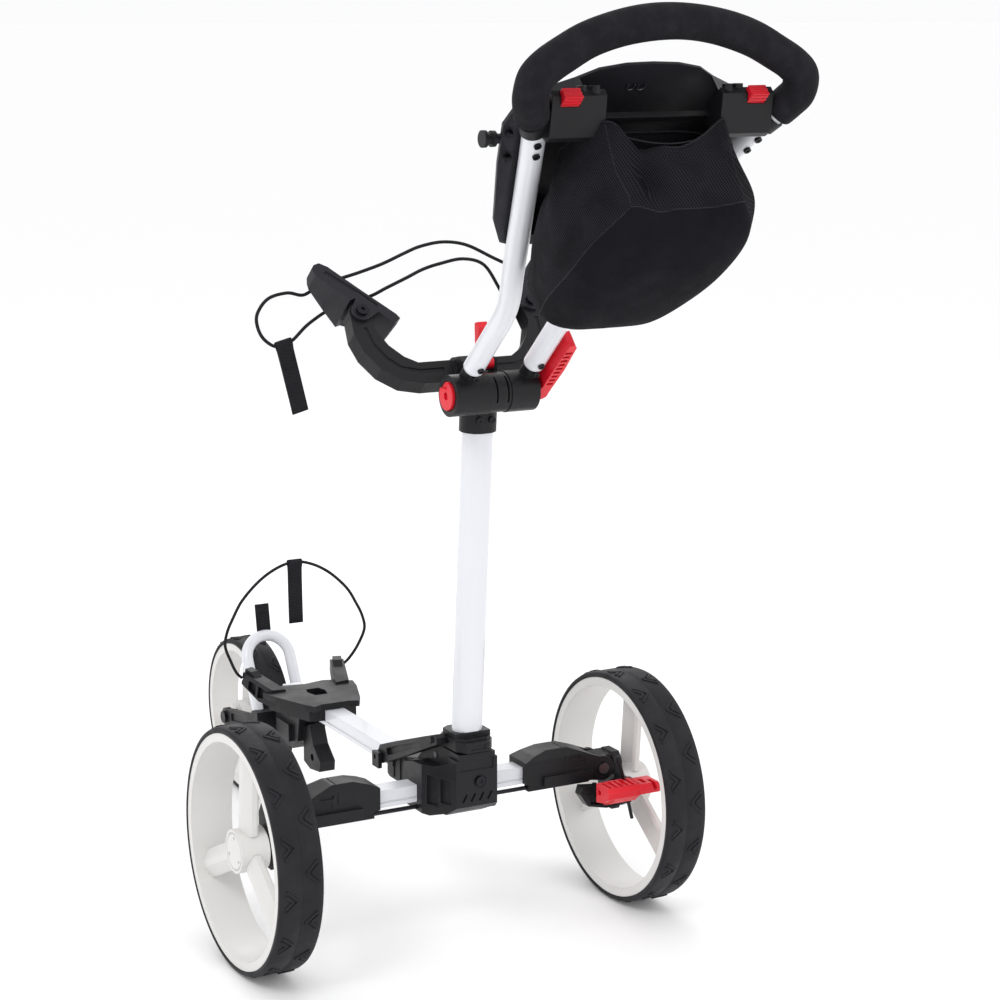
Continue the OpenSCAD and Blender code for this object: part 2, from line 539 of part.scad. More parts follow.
module cam_lever() color(red) place() handle_frame() difference() {
  union() {
    translate([57, -19, -1]) cylinder(h = 5.8, r = 7.8);
    translate([57, -19, 13.2]) cylinder(h = 5.8, r = 7.8);
    translate([57, -19, -1]) cylinder(h = 20, r = 3);
    box([50.5, -18, -1], [64.5, -4, 4.8]);
    box([50.5, -18, 13.2], [64.5, -4, 19]);
    translate([0, 0, -1]) linear_extrude(20) polygon([[51.5, -8], [64.5, -8], [66, 30], [63.5, 73], [59, 79], [53, 76], [51.5, 34]]);
  }
  // ladder of slots
  for (i = [0:8]) box([54 - i * 0.1, i * 7.4 + 2, 1.5], [62, i * 7.4 + 6, 20]);
}
module handle_tube() color(white) place() difference() {
  sweep(handle_path, handle_r, 20, handle_ref);
  cyl_x(handle_hinge[0], handle_hinge[1], barrel_r + 0.1, -80, 80, 64);
  both() handle_frame() translate([38, -10, 0]) rotate([-90, 0, 0]) cylinder(h = 62, r = handle_r - 1.8, $fn = 48);
}
module foam_grip() color(black) place() difference() {
  sweep(grip_path, grip_r, 24, handle_ref);
  sweep(concat([grip_path[0] + [-8, 12, -12]], grip_path, [grip_path[len(grip_path) - 1] + [8, 12, -12]]),
    handle_r + 0.8, 20, handle_ref);
}
module handle_screws() color(steel) place() handle_frame() both() {
  for (q = [[38, 16], [38, 32], [122, 402], [127, 418]]) difference() {
    translate([q[0], q[1], handle_r + 0.05]) cylinder(h = 2.4, r = 3.8, $fn = 32);
    translate([q[0], q[1], handle_r + 1.2]) cylinder(h = 3, r = 1.8, $fn = 6);
  }
  // screws that hold the front shell to its clamps
  for (q = [[145, 408], [133, 372]]) translate([q[0], q[1], -13.15]) cylinder(h = 5, r = 4, $fn = 32);
}

// ---- console -------------------------------------------------------------
wing = [[470, -12], [470, -4], [462, 3], [439, 21], [431, 19], [429, 12], [430, -12]];
module wing_side() difference() {
  union() {
    // section given as [s, depth]
    rotate([90, 0, 90]) translate([0, 0, 66]) linear_extrude(60) polygon(wing);
    rotate([90, 0, 90]) translate([0, 0, 0]) linear_extrude(67) polygon([[428, -12], [436, -12], [436, -5], [428, -5]]);
  }
  // pocket of the push button, open towards the top
  box([95.4, 450, -10.6], [116.6, 480, 2.6]);
}
module grip_room() sweep(grip_path, grip_r + 0.4, 24, handle_ref);
module clamp(r, a, h) translate([131.5, 429.5, 0]) rotate([0, 0, -28]) rotate([-90, 0, 0]) translate([0, 0, a])
  cylinder(h = h, r = r);
module console_frame() color(black) place() difference() {
  union() {
    handle_frame() both() {
      wing_side();
      box([120, 431, -11.9], [134, 441, 10]);
      clamp(14.6, 0, 14);
    }
    // tee holders
    both() for (q = [[76, -468], [89, -466]]) translate([q[0], q[1], 1012]) cylinder(h = 18, r = 5.4, $fn = 32);
  }
  both() for (q = [[76, -468], [89, -466]]) translate([q[0], q[1], 1014]) cylinder(h = 20, r = 2.6, $fn = 32);
  sweep(handle_path, handle_r + 0.3, 20, handle_ref);
  grip_room();
}
module console_button_right() color(red) place() handle_frame() difference() {
  box([96, 455, -10], [116, 475, 2]);
  for (i = [0:3]) box([95, 458.5 + i * 4.4, 0.8], [117, 460.5 + i * 4.4, 3]);
  for (i = [0:1]) box([95, 474, -7.5 + i * 4.6], [117, 476, -5.5 + i * 4.6]);
}
module console_button_left() flip() console_button_right();
shell = [[0, 474], [30, 472.5], [58, 466], [84, 452], [136, 450], [152, 440], [155, 418], [138, 360],
  [106, 268], [85, 232], [70, 226], [0, 226]];
bulge = [[0, 474], [30, 472.5], [58, 466], [80, 452], [104, 440], [108, 405], [98, 350], [78, 272],
  [64, 240], [0, 236]];
inner = [[0, 500], [76, 500], [76, 452], [100, 437], [104.5, 405], [95, 351], [75, 274], [62, 243.5], [0, 239.5]];
function whole(p) = concat(p, [for (i = [len(p) - 1:-1:0]) [-p[i][0], p[i][1]]]);
module console_shell() color(grey) place() difference() {
  shell_body();
  handle_frame() both() clamp(14.8, -0.2, 14.4);
  handle_frame() both() box([119.8, 430.8, -16], [134.2, 441.2, 0]);
  grip_room();
}
module shell_body() handle_frame() difference() {
  union() {
    translate([0, 0, -17]) linear_extrude(3.8) polygon(whole(shell));
    translate([0, 0, -43]) linear_extrude(27) polygon(whole(bulge));
    // boss of the side knob
    translate([-152, 392, -19]) rotate([0, 90, 0]) cylinder(h = 14, r = 5, $fn = 32);
  }
  translate([0, 0, -40]) linear_extrude(60) polygon(whole(inner));
  translate([-160, 392, -19]) rotate([0, 90, 0]) cylinder(h = 14, r = 2.54, $fn = 32);
  // shallow panel line on the front
  translate([0, 0, -43.5]) linear_extrude(1.5) difference() {
    polygon([[84, 430], [-84, 430], [-60, 262], [60, 262]]);
    polygon([[81, 427], [-81, 427], [-58, 265], [58, 265]]);
  }
}
module card_clips() color(steel) place() handle_frame() for (x = [-13, -1]) translate([x, 441, -38.9]) {
  rotate([0, 0, 180]) rotate_extrude(angle = 180, $fn = 48) translate([4, 0]) circle(r = 1, $fn = 24);
  for (s = [-4, 4]) translate([s, 0, 0]) rotate([-90, 0, 0]) cylinder(h = 4, r = 1, $fn = 24);
}
module side_knob() color(black) place() handle_frame() translate([0, 392, -19]) rotate([0, -90, 0]) {
  translate([0, 0, 152.2]) cylinder(h = 4, r = 8, $fn = 32);
  translate([0, 0, 156]) cylinder(h = 6, r = 5.5, $fn = 32);
  translate([0, 0, 162]) cylinder(h = 4, r = 8.5, $fn = 32);
  translate([0, 0, 148]) cylinder(h = 5, r = 2.5, $fn = 32);
}
bag_c = [0, -420, 880];
module bag_solid() intersection() {
  prism_x([[-488, 975], [-521.9, 918], [-516, 886], [-478, 842], [-418, 800], [-350, 779], [-306, 785],
    [-288, 808], [-288, 825.5], [-435, 960], [-448, 975]], -120, 120);
  translate([0, 0, -20]) handle_frame() linear_extrude(400, center = true) polygon(whole([[0, 600], [60, 600], [67, 452],
    [88, 434], [105, 404], [105, 384], [86, 339], [64, 250], [53, 210], [30, 194], [0, 186]]));
  prism_y(whole([[0, 1000], [66, 1000], [70, 965], [88, 938], [105, 908], [103, 880], [84, 846], [60, 806],
    [40, 784], [0, 770]]), -600, -200);
  translate([0, 0, 700]) linear_extrude(300) polygon(whole([[0, -530], [66, -530], [82, -505], [105, -462],
    [105, -430], [90, -396], [68, -320], [56, -280], [0, -280]]));
}
module mesh_bag() color(black) place() difference() {
  bag_solid();
  translate(bag_c) scale(0.955) translate(-bag_c) bag_solid();
  // mouth
  prism_x([[-484, 962], [-482, 990], [-449, 990], [-440, 962], [-446, 940], [-480, 940]], -62, 62);
}

// ---- bag bracket ---------------------------------------------------------
module bag_bracket() color(black) place() bracket_frame() difference() {
  union() {
    translate([-17.8, 0, -11]) rotate([0, 90, 0]) cylinder(h = 35.6, r = 11, $fn = 64);
    both() {
      difference() {
        translate([0, 0, -26.3]) linear_extrude(22) polygon([[17.4, -15], [60, -15], [86, -9], [108, 8], [122, 32],
          [127, 56], [124, 80], [97, 84], [99, 60], [89, 38], [75, 22], [60, 13], [17.4, 13]]);
        // long groove in the rear face
        translate([0, 0, -5.8]) linear_extrude(3) polygon([[30, -3], [62, -3], [84, 4], [99, 18], [110, 40],
          [113, 64], [108, 64], [105, 42], [95, 23], [82, 10], [61, 4], [30, 4]]);
      }
      translate([110, 84, -26.3]) cylinder(h = 22, r = 14);
    }
  }
  both() translate([110, 84, -30]) cylinder(h = 40, r = 3.02, $fn = 32);
}
module bracket_screws() color(steel) place() bracket_frame() both() translate([110, 84, 0]) difference() {
  union() {
    translate([0, 0, -31]) cylinder(h = 33, r = 3, $fn = 32);
    translate([0, 0, 0.3]) cylinder(h = 4, r = 7, $fn = 32);
    translate([0, 0, -31]) cylinder(h = 4.4, r = 6, $fn = 32);
  }
  translate([0, 0, 2]) cylinder(h = 5, r = 2.6, $fn = 6);
}
// local x runs along the pad, local y towards the golf bag, local z towards the user
module pad_shape() translate([110, 84, 0]) rotate([0, 0, 53.13]) difference() {
  union() {
    intersection() {
      translate([0, 0, -66]) linear_extrude(66) polygon([[-37, 27.5], [-37, 17], [-14, 15], [10, 14.8], [16, 8],
        [18, 1], [40, -1.5], [66, -3], [75, 1], [76.5, 7], [74, 14], [64, 18], [20, 22.5], [-30, 28.5]]);
      rotate([90, 0, 0]) translate([0, 0, -40]) linear_extrude(60) polygon([[-38, 0], [77, 0], [78, -14],
        [71, -25], [4, -63], [-18, -65], [-34, -52]]);
    }
    translate([0, 0, -4]) cylinder(h = 4, r = 12);
    translate([0, 0, -4]) linear_extrude(4) polygon([[-12, 0], [-14, 16], [18, 16], [12, 0]]);
  }
  translate([0, 0, -30]) cylinder(h = 40, r = 3.06, $fn = 32);
  // hollow behind the lower end and the recess of the rear face
  translate([0, 0, -70]) linear_extrude(65) polygon([[-40, 19.5], [-16, 18.5], [2, 18.2], [2, 20.6], [-30, 24.6], [-40, 25.4]]);
  translate([0, 0, -1.6]) linear_extrude(3) polygon([[-8, 18], [16, 17], [26, 12], [62, 5], [62, 12], [18, 19.5], [-8, 22.5]]);
}
module cradle_pad_right() color(grey) place() bracket_frame() pad_shape();
module cradle_pad_left() flip() cradle_pad_right();
module bracket_release() color(red) place() difference() {
  union() {
    cyl_x(release_hinge[0], release_hinge[1], 8, -8.4, 8.4);
    cyl_x(release_hinge[0], release_hinge[1], 2.5, -12.8, 12.8, 32);
    prism_x([[-104, 716], [-100, 730], [-102, 752], [-98, 758], [-92, 756], [-93, 730], [-95, 716]], -8.4, 4);
  }
}

// ---- cords and webbing ---------------------------------------------------
module lower_cord() color(black) place() sweep(lower_path, cord_r, 8, [0, 1, 0.1]);
module upper_cord() color(black) place() sweep(upper_path, cord_r, 8, [0.05, -0.765, 0.644]);
module cord_knots() color(black) place() {
  translate(upper_route[0] + 5.1 * unit(upper_route[0] - upper_route[1])) sphere(r = 5, $fn = 32);
  translate(upper_route[len(upper_route) - 1] + 5.1 * unit(upper_route[len(upper_route) - 1] - upper_route[len(upper_route) - 2]))
    sphere(r = 5, $fn = 32);
}
module tab_shape() difference() {
  union() {
    box([-tab_w / 2, -1.5, -tab_len], [tab_w / 2, 1.5, 0]);
    rotate([0, 90, 0]) translate([0, 0, -tab_w / 2]) cylinder(h = tab_w, r = cord_r + 2.3, $fn = 32);
  }
  rotate([0, 90, 0]) translate([0, 0, -tab_w / 2 - 1]) cylinder(h = tab_w + 2, r = cord_r + 0.9, $fn = 32);
}
module lower_cord_tab() color(black) place() translate([0, 450, 369.5]) tab_shape();
module upper_cord_tab() color(black) place() translate([-182.7, 46, 728]) rotate([0, -14, 0]) tab_shape();

main_hub();
hub_bolts();
spine_tube();
axle_tube_left();
axle_tube_right();
arm_housing_left();
arm_housing_right();
lower_bracket();
fork_housing();
lower_cord();
lower_cord_tab();
hinge_pins();
mast_foot();
mast_tube();
upper_hub();
collar_screws();
mast_latch();
swing_block_left();
swing_block_right();
rear_axle_left();
rear_axle_right();
brake_pedal();
brake_pin();
tyre_left();
tyre_right();
tyre_front();
rim_left();
rim_right();
rim_front();
bearings_left();
bearings_right();
bearings_front();
link_rod_left();
link_rod_right();
front_fork();
front_axle();
pull_hoop();
pull_tab();
handle_barrel_left();
handle_barrel_right();
handle_tube();
foam_grip();
console_frame();
console_shell();
card_clips();
handle_screws();
mesh_bag();
bolt_cap();
cam_lever();
console_button_left();
console_button_right();
side_knob();
bag_bracket();
bracket_screws();
upper_cord();
upper_cord_tab();
cord_knots();
cradle_pad_left();
cradle_pad_right();
bracket_release();
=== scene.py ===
import json
import math

import bpy
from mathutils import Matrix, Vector


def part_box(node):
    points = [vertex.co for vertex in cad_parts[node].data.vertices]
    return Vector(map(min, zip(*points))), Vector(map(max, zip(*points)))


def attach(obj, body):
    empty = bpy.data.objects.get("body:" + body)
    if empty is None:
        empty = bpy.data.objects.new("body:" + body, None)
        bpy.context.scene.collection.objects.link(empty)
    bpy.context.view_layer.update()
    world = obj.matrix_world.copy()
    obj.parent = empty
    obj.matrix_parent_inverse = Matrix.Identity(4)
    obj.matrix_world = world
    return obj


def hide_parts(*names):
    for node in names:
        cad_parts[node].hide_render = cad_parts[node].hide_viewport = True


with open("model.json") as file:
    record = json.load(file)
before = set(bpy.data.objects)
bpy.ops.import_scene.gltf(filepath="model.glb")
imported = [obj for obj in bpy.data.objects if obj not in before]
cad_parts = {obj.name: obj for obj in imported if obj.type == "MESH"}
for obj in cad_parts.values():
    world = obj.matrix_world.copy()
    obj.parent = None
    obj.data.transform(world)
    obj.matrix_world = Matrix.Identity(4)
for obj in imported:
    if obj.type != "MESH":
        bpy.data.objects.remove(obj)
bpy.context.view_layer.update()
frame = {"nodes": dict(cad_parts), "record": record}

MM = 0.001


# ---- places ----------------------------------------------------------------
def middle(node):
    low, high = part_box(node)
    return (low + high) / 2


# the rear axle's line, which the mm places below are measured from
REAR_Y = middle("tyre_left").y / MM


def spot(x, y, z):
    """A place in mm from the floor below the middle of the rear axle, as metres in the frame."""
    return Vector((x, y + REAR_Y, z)) * MM


HANDLE_PIVOT = (0, -131, 700.6)
HANDLE_ANGLE = math.radians(180 - 42.4)
BRACKET_PIVOT = (0, -65, 703)
BRACKET_ANGLE = math.radians(49.9)
# where a cradle pad's screw sits in the bracket's plane
PAD_SCREW = (110, 84)


def tilted(origin, angle, x, along, out):
    """A place in a plane that is turned about X: across, along the plane and out of it."""
    y = origin[1] + along * math.cos(angle) - out * math.sin(angle)
    z = origin[2] + along * math.sin(angle) + out * math.cos(angle)
    return spot(origin[0] + x, y, z)


def in_handle(x, along, out=0.0):
    return tilted(HANDLE_PIVOT, HANDLE_ANGLE, x, along, out)


def in_bracket(x, along, out):
    return tilted(BRACKET_PIVOT, BRACKET_ANGLE, x, along, out)


def at_pad(u, v, out):
    """Beside the right cradle pad: along it, towards the golf bag, towards the user."""
    return in_bracket(PAD_SCREW[0] + 0.6 * u - 0.8 * v, PAD_SCREW[1] + 0.8 * u + 0.6 * v, out)


def flipped(p):
    return Vector((-p.x, p.y, p.z))


def both_halves(half, centre):
    """A route from one side over its middle to the mirrored other side."""
    return half + [centre] + [flipped(p) for p in reversed(half)]


def smooth(points, steps):
    """Catmull-Rom curve through the points."""
    out = []
    last = len(points) - 1
    for i in range(last):
        a, b = points[max(i - 1, 0)], points[i]
        c, d = points[i + 1], points[min(i + 2, last)]
        for k in range(steps):
            t = k / steps
            out.append(0.5 * (2 * b + (c - a) * t + (2 * a - 5 * b + 4 * c - d) * t * t
                              + (3 * b - a - 3 * c + d) * t ** 3))
    return out + [points[-1]]


# ---- materials -------------------------------------------------------------
class Shader:
    """A principled material with small helpers for procedural detail in frame coordinates."""

    def __init__(self, name, colour, roughness, **sockets):
        self.material = bpy.data.materials.new(name)
        self.material.use_nodes = True
        self.tree = self.material.node_tree
        self.main = self.tree.nodes["Principled BSDF"]
        self.colour = colour
        self.main.inputs["Base Color"].default_value = (*colour, 1)
        self.main.inputs["Roughness"].default_value = roughness
        for socket, value in sockets.items():
            self.main.inputs[socket.replace("_", " ")].default_value = value
        self.normal = None
        self.place = self.node("ShaderNodeTexCoord").outputs["Object"]

    def node(self, kind, **values):
        made = self.tree.nodes.new(kind)
        for name, value in values.items():
            setattr(made, name, value)
        return made

    def link(self, a, b):
        self.tree.links.new(a, b)

    def noise(self, scale, detail):
        texture = self.node("ShaderNodeTexNoise")
        texture.inputs["Scale"].default_value = scale
        texture.inputs["Detail"].default_value = detail
        texture.inputs["Roughness"].default_value = 0.55
        self.link(self.place, texture.inputs["Vector"])
        return texture.outputs["Fac"]

    def turned(self, turn):
        mapping = self.node("ShaderNodeMapping")
        mapping.inputs["Rotation"].default_value = turn
        self.link(self.place, mapping.inputs["Vector"])
        return mapping.outputs["Vector"]

    def ranged(self, value, low, high, start=0.3, end=0.7):
        rule = self.node("ShaderNodeMapRange")
        rule.inputs["From Min"].default_value = start
        rule.inputs["From Max"].default_value = end
        rule.inputs["To Min"].default_value = low
        rule.inputs["To Max"].default_value = high
        self.link(value, rule.inputs["Value"])
        return rule.outputs["Result"]

    def product(self, a, b, operation="MULTIPLY"):
        made = self.node("ShaderNodeMath", operation=operation)
        self.link(a, made.inputs[0])
        self.link(b, made.inputs[1])
        return made.outputs[0]

    def roughness(self, value, low, high):
        self.link(self.ranged(value, low, high), self.main.inputs["Roughness"])

    def tint(self, value, other, start=0.35, end=0.65):
        """Mixes the base colour with another where value is high."""
        mix = self.node("ShaderNodeMix", data_type="RGBA")
        self.link(self.ranged(value, 0.0, 1.0, start, end), mix.inputs["Factor"])
        if self.main.inputs["Base Color"].is_linked:
            self.link(self.main.inputs["Base Color"].links[0].from_socket, mix.inputs["A"])
        else:
            mix.inputs["A"].default_value = (*self.colour, 1)
        mix.inputs["B"].default_value = (*other, 1)
        self.link(mix.outputs["Result"], self.main.inputs["Base Color"])

    def bump(self, value, height, strength=1.0):
        made = self.node("ShaderNodeBump")
        made.inputs["Distance"].default_value = height
        made.inputs["Strength"].default_value = strength
        self.link(value, made.inputs["Height"])
        if self.normal is not None:
            self.link(self.normal, made.inputs["Normal"])
        self.normal = made.outputs["Normal"]
        self.link(self.normal, self.main.inputs["Normal"])

    def soft_edges(self, radius, edge_wear_and_highlight=None):
        """Rounds the shading of sharp edges, and paints them lighter where an edge colour is given: edge
        wear together with a painted edge highlight.
        """
        edge = self.node("ShaderNodeBevel", samples=4)
        edge.inputs["Radius"].default_value = radius
        self.normal = edge.outputs["Normal"]
        self.link(self.normal, self.main.inputs["Normal"])
        if edge_wear_and_highlight is None:
            return
        dot = self.node("ShaderNodeVectorMath", operation="DOT_PRODUCT")
        self.link(edge.outputs["Normal"], dot.inputs[0])
        self.link(self.node("ShaderNodeNewGeometry").outputs["Normal"], dot.inputs[1])
        # painted edge highlight: edges are mixed towards a lighter colour that stands for wear and for
        # light caught on the edges
        self.tint(self.ranged(dot.outputs["Value"], 1.0, 0.0, 0.80, 0.985), edge_wear_and_highlight, 0.2, 1.6)


def moulded(name, colour, roughness, edge_wear_and_highlight, specular=0.26):
    """Moulded plastic with a spark-eroded grain, faint flow marks and lighter edges, which stand for edge
    wear and a painted edge highlight.
    """
    s = Shader(name, colour, roughness, Specular_IOR_Level=specular)
    s.soft_edges(0.0012, edge_wear_and_highlight)
    s.bump(s.noise(620.0, 2.0), 0.00018, 0.6)
    s.bump(s.noise(38.0, 2.0), 0.0004, 0.25)
    s.roughness(s.noise(26.0, 4.0), roughness - 0.07, roughness + 0.1)
    return s.material


def painted(name, colour):
    """Gloss powder coat: a faint orange peel under a clear top."""
    s = Shader(name, colour, 0.3, Coat_Weight=0.6, Coat_Roughness=0.12)
    s.soft_edges(0.0015)
    s.bump(s.noise(420.0, 1.0), 0.00012, 0.35)
    s.tint(s.noise(5.0, 2.0), tuple(c * 0.985 for c in colour), 0.3, 0.8)
    s.roughness(s.noise(60.0, 5.0), 0.28, 0.33)
    return s.material


def metal(name, colour, roughness):
    s = Shader(name, colour, roughness, Metallic=1.0)
    s.soft_edges(0.0006)
    s.bump(s.noise(700.0, 3.0), 0.0001, 0.4)
    s.roughness(s.noise(90.0, 5.0), roughness - 0.08, roughness + 0.12)
    return s.material


def rubber():
    s = Shader("tyre_rubber", (0.012, 0.0115, 0.014), 0.6, Specular_IOR_Level=0.24)
    s.bump(s.noise(1100.0, 3.0), 0.0002, 0.5)
    s.bump(s.noise(14.0, 3.0), 0.0008, 0.2)
    s.tint(s.noise(22.0, 5.0), (0.021, 0.02, 0.024), 0.45, 0.8)
    s.roughness(s.noise(35.0, 4.0), 0.52, 0.68)
    return s.material


def foam():
    s = Shader("grip_foam", (0.009, 0.0085, 0.011), 0.85, Specular_IOR_Level=0.16)
    cells = s.node("ShaderNodeTexVoronoi")
    cells.inputs["Scale"].default_value = 950.0
    s.link(s.place, cells.inputs["Vector"])
    s.bump(cells.outputs["Distance"], 0.0003, 0.6)
    s.bump(s.noise(45.0, 3.0), 0.0007, 0.35)
    s.tint(s.noise(70.0, 5.0), (0.017, 0.016, 0.02), 0.45, 0.8)
    s.roughness(s.noise(30.0, 3.0), 0.74, 0.92)
    return s.material


def bands(s, scale, direction):
    """Threads across a direction given as a turn of the frame."""
    wave = s.node("ShaderNodeTexWave", wave_type="BANDS", bands_direction="X", wave_profile="SIN")
    wave.inputs["Scale"].default_value = scale
    wave.inputs["Distortion"].default_value = 0.0
    s.link(s.turned(direction), wave.inputs["Vector"])
    return wave.outputs["Fac"]


def cloth(name, colour, light, thread, height, roughness=0.85, net=False):
    """Two sets of diagonal threads; a net shows dark openings between them."""
    s = Shader(name, colour, roughness, Specular_IOR_Level=0.07)
    up, down = (0.0, 0.785, 0.6), (0.0, -0.785, 0.6)
    threads = s.product(bands(s, thread, up), bands(s, thread, down), "MAXIMUM" if net else "MULTIPLY")
    s.bump(threads, height, 0.8)
    s.bump(s.noise(60.0, 4.0), 0.0009, 0.35)
    s.tint(threads, light, 0.55 if net else 0.3, 0.95)
    s.tint(s.noise(18.0, 4.0), tuple(c * 0.6 for c in colour), 0.5, 0.9)
    s.roughness(s.noise(40.0, 3.0), roughness - 0.08, min(roughness + 0.08, 1.0))
    return s.material


def webbing():
    s = Shader("tab_webbing", (0.01, 0.01, 0.012), 0.8, Specular_IOR_Level=0.15)
    s.bump(bands(s, 150.0, (0.0, 1.5708, 0.0)), 0.0004, 0.8)
    s.bump(s.noise(600.0, 2.0), 0.0002, 0.5)
    s.tint(bands(s, 150.0, (0.0, 1.5708, 0.0)), (0.024, 0.024, 0.028), 0.4, 0.95)
    s.roughness(s.noise(40.0, 3.0), 0.7, 0.9)
    return s.material


def braid():
    s = Shader("cord_braid", (0.009, 0.009, 0.011), 0.7, Specular_IOR_Level=0.2)
    sleeve = s.product(bands(s, 330.0, (0.0, 0.785, 0.7)), bands(s, 330.0, (0.0, -0.785, -0.7)))
    s.bump(sleeve, 0.0005, 0.9)
    s.tint(sleeve, (0.032, 0.032, 0.037), 0.3, 0.9)
    s.roughness(s.noise(60.0, 3.0), 0.6, 0.8)
    return s.material


MATERIALS = {
    "white_paint": painted("white_gloss_paint", (0.74, 0.75, 0.79)),
    # the fourth value of each moulded plastic is its lighter edge colour: edge wear and a painted edge
    # highlight
    "white_plastic": moulded("white_rim_plastic", (0.70, 0.69, 0.67), 0.38, (0.8, 0.8, 0.79),
                             specular=0.4),
    "black_plastic": moulded("black_moulded_plastic", (0.008, 0.008, 0.0095), 0.42,
                             (0.034, 0.034, 0.039)),
    "grey_plastic": moulded("grey_moulded_plastic", (0.014, 0.014, 0.018), 0.4, (0.05, 0.05, 0.058)),
    "red_plastic": moulded("red_moulded_plastic", (0.72, 0.008, 0.022), 0.36, (0.86, 0.08, 0.1),
                           specular=0.4),
    "steel": metal("dark_zinc_steel", (0.13, 0.13, 0.14), 0.42),
    "black_metal": metal("black_steel", (0.03, 0.03, 0.034), 0.42),
    "tyre": rubber(),
    "foam": foam(),
    "mesh": cloth("net_fabric", (0.003, 0.003, 0.004), (0.02, 0.0195, 0.024), 150.0, 0.0004, net=True),
    "pocket": cloth("pocket_fabric", (0.007, 0.0068, 0.009), (0.014, 0.0135, 0.018), 260.0, 0.0003),
    "webbing": webbing(),
    "cord": braid(),
}


def dress_cad_nodes():
    """Every CAD node takes the material of the slot that the record gives it."""
    for part in frame["record"]["subparts"]:
        mesh = frame["nodes"][part["node"]].data
        mesh.materials.clear()
        mesh.materials.append(MATERIALS[part["material_slot"]])


# ---- mesh helpers ----------------------------------------------------------
def new_piece(name, points, faces, slot, body):
    mesh = bpy.data.meshes.new(name)
    mesh.from_pydata([tuple(p) for p in points], [], faces)
    mesh.materials.append(MATERIALS[slot])
    mesh.polygons.foreach_set("use_smooth", [True] * len(faces))
    mesh.update()
    piece = bpy.data.objects.new(name, mesh)
    bpy.context.collection.objects.link(piece)
    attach(piece, body)
    return piece


def heading(path, i):
    return (path[min(i + 1, len(path) - 1)] - path[max(i - 1, 0)]).normalized()


def swept(path, radii, sides, up):
    """Points and faces of a closed tube; radii holds one radius for each path point."""
    points, faces = [], []
    for i, centre in enumerate(path):
        ahead = heading(path, i)
        across = up.cross(ahead).normalized()
        lift = ahead.cross(across)
        for k in range(sides):
            turn = 2 * math.pi * k / sides
            points.append(centre + radii[i] * (math.cos(turn) * across + math.sin(turn) * lift))
    for i in range(len(path) - 1):
        for k in range(sides):
            a, b = i * sides + k, i * sides + (k + 1) % sides
            faces.append((a, a + sides, b + sides, b))
    last = (len(path) - 1) * sides
    faces.append(tuple(range(sides)))
    faces.append(tuple(last + k for k in reversed(range(sides))))
    return points, faces


def joined(parts):
    """One list of points and faces out of several."""
    points, faces = [], []
    for more_points, more_faces in parts:
        start = len(points)
        points += more_points
        faces += [tuple(start + i for i in face) for face in more_faces]
    return points, faces


# ---- tyres -----------------------------------------------------------------
# name, body, outer radius and width in mm, and pairs of chevrons round the tread
TYRES = [("tyre_left", "wheel_left", 147.0, 54.0, 15),
         ("tyre_right", "wheel_right", 147.0, 54.0, 15),
         ("tyre_front", "wheel_front", 112.0, 42.0, 12)]
TREAD_DEPTH = 1.5
TYRE_STEPS = 288


def tyre_section(r, w):
    """The tyre's outline as (across, radius), from bead to bead, with a thin groove in the middle."""
    h = w / 2
    floor_r = r - TREAD_DEPTH
    side = [(h - 4.9, r - 15.0), (h - 4.9, r - 8.6), (h, r - 8.2), (h, r - 5.0), (h - 0.9, r - 2.9),
            (h - 3.2, r - 1.9), (h - 7.0, floor_r), (h * 0.45, floor_r), (1.1, floor_r),
            (0.45, floor_r - 0.45)]
    return [(-x, q) for x, q in side] + [(x, q) for x, q in reversed(side)]


def turned_section(centre, section, steps):
    points, faces = [], []
    count = len(section)
    for i in range(steps):
        turn = 2 * math.pi * i / steps
        for x, q in section:
            points.append(centre + Vector((x, q * math.cos(turn), q * math.sin(turn))) * MM)
    for i in range(steps):
        for k in range(count):
            a, b = i * count + k, i * count + (k + 1) % count
            c, d = (i + 1) % steps * count + (k + 1) % count, (i + 1) % steps * count + k
            faces.append((a, b, c, d))
    return points, faces


def tread_bar(centre, r, start, end, half_width=1.3):
    """One raised bar on the tread between two (across, round) places in mm."""
    points, faces = [], []
    steps = 5
    run = Vector((end[0] - start[0], end[1] - start[1]))
    side = Vector((-run.y, run.x)).normalized()
    section = [(-half_width - 0.4, r - 2.6), (-half_width, r - 0.15), (-half_width + 0.35, r),
               (half_width - 0.35, r), (half_width, r - 0.15), (half_width + 0.4, r - 2.6)]
    for i in range(steps + 1):
        along = Vector(start) + run * (i / steps)
        for offset, q in section:
            x, arc = along + side * offset
            drop = max(0.0, abs(x) - 16.0) ** 2 * 0.012
            turn = arc / r
            reach = q - drop
            points.append(centre + Vector((x, reach * math.cos(turn), reach * math.sin(turn))) * MM)
    count = len(section)
    for i in range(steps):
        for k in range(count):
            a, b = i * count + k, i * count + (k + 1) % count
            faces.append((a, a + count, b + count, b))
    faces.append(tuple(range(count)))
    faces.append(tuple(steps * count + k for k in reversed(range(count))))
    return points, faces


def tyre(name, body, r, w, motifs):
    """A tyre with pairs of nested chevrons on alternate shoulders."""
    centre = middle(name)
    inner, depth, half_span = w * 0.09, w * 0.27, 13.5
    parts = [turned_section(centre, tyre_section(r, w), TYRE_STEPS)]
    pitch = 2 * math.pi * r / motifs
    for i in range(motifs):
        for side in (-1, 1):
            round_at = (i + 0.25 * side) * pitch
            for inset, reach in ((0.0, 1.0), (7.0, 0.6)):
                tip = (side * (inner + inset), round_at)
                for way in (-1, 1):
                    foot = (side * (inner + inset + depth * reach), round_at + way * half_span * reach)
                    parts.append(tread_bar(centre, r, tip, foot))
    points, faces = joined(parts)
    piece = new_piece("rubber_" + name, points, faces, "tyre", body)
    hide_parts(name)


